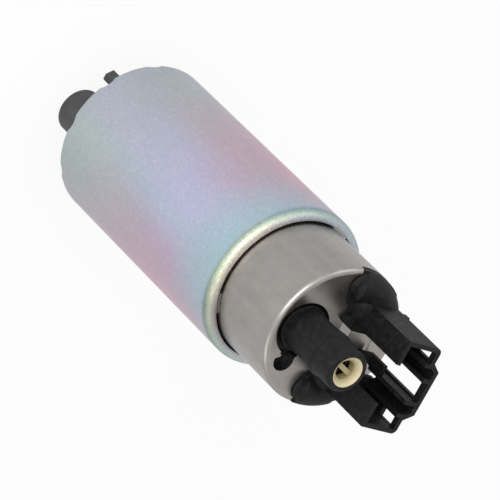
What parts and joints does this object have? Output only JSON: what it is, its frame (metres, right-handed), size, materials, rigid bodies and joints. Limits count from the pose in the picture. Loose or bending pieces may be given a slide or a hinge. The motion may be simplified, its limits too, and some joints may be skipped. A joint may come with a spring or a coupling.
{
  "type": "fuel pump",
  "caption": "Cylindrical in-tank electric fuel pump: plated steel sleeve over a steel can, black outlet moulding with offset barbed nipple, brush towers and connector, offset inlet stub",
  "frame": {"origin": "on the pump axis, in the plane of the sleeve's rolled inlet edge", "axes": "+Z along the pump axis towards the outlet, +Y towards the electric connector, +X to the side of the relief lobe"},
  "size_m": [0.038, 0.038, 0.1119],
  "materials": {
    "zinc_steel": "iridescent clear passivated zinc plating, fine grain",
    "stainless": "satin drawn stainless sheet",
    "black_plastic": "matt moulded, glass filled",
    "cream_plastic": "satin moulded",
    "grey_plastic": "matt moulded, glass filled",
    "seal_rubber": "smooth",
    "bright_steel": "ground",
    "spring_steel": "drawn wire",
    "tinned_brass": "tinned, semi-bright",
    "brass": "stamped sheet",
    "copper_wire": "enamelled",
    "carbon": "pressed carbon",
    "ferrite": "sintered, ground",
    "sinter_bronze": "sintered",
    "die_cast": "as cast and turned",
    "phenolic": "machined moulding",
    "insulator": "satin moulded"
  },
  "bodies": {
    "housing": {"flux_sleeve": "zinc_steel", "outlet_can": "stainless", "outlet_moulding": "black_plastic", "valve_guide": "cream_plastic", "check_valve_spring": "spring_steel", "relief_plug": "grey_plastic", "relief_spring": "spring_steel", "moulding_seal": "seal_rubber", "upper_bearing": "sinter_bronze", "terminal_1": "tinned_brass", "terminal_2": "tinned_brass", "brush_strap_1": "brass", "brush_strap_2": "brass", "choke_core_1": "ferrite", "choke_core_2": "ferrite", "choke_coil_1": "copper_wire", "choke_coil_2": "copper_wire", "brush_spring_1": "spring_steel", "brush_spring_2": "spring_steel", "magnet_1": "ferrite", "magnet_2": "ferrite", "magnet_clip_1": "spring_steel", "magnet_clip_2": "spring_steel", "lower_bearing": "sinter_bronze", "pump_housing": "die_cast", "housing_seal": "seal_rubber", "thrust_button": "bright_steel", "inlet_cover": "grey_plastic"},
    "rotor": {"shaft": "bright_steel", "armature_core": "bright_steel", "slot_insulators": "insulator", "armature_windings": "copper_wire", "commutator_hub": "phenolic", "commutator_bars": "carbon", "impeller": "phenolic"},
    "brush_a": {"brush_1": "carbon"},
    "brush_b": {"brush_2": "carbon"},
    "valve_body": {"check_valve": "grey_plastic"},
    "relief_body": {"relief_ball": "bright_steel"}
  },
  "joints": [
    {"name": "rotor_spin", "type": "hinge", "parent": "housing", "child": "rotor", "pos_m": [0, 0, 0], "axis": [0, 0, 1], "continuous": true},
    {"name": "brush_1_lift", "type": "slide", "parent": "housing", "child": "brush_a", "axis": [0, 0, 1], "range_m": [0, 0.003], "stiffness_N_per_m": 80, "springref_m": -0.004, "deforming": ["brush_spring_1"]},
    {"name": "brush_2_lift", "type": "slide", "parent": "housing", "child": "brush_b", "axis": [0, 0, 1], "range_m": [0, 0.003], "stiffness_N_per_m": 80, "springref_m": -0.004, "deforming": ["brush_spring_2"]},
    {"name": "check_valve_lift", "type": "slide", "parent": "housing", "child": "valve_body", "axis": [0, 0, 1], "range_m": [0, 0.0025], "stiffness_N_per_m": 60, "springref_m": -0.003, "deforming": ["check_valve_spring"]},
    {"name": "relief_ball_lift", "type": "slide", "parent": "housing", "child": "relief_body", "axis": [0, 0, 1], "range_m": [0, 0.0012], "stiffness_N_per_m": 200, "springref_m": -0.002, "deforming": ["relief_spring"]}
  ]
}
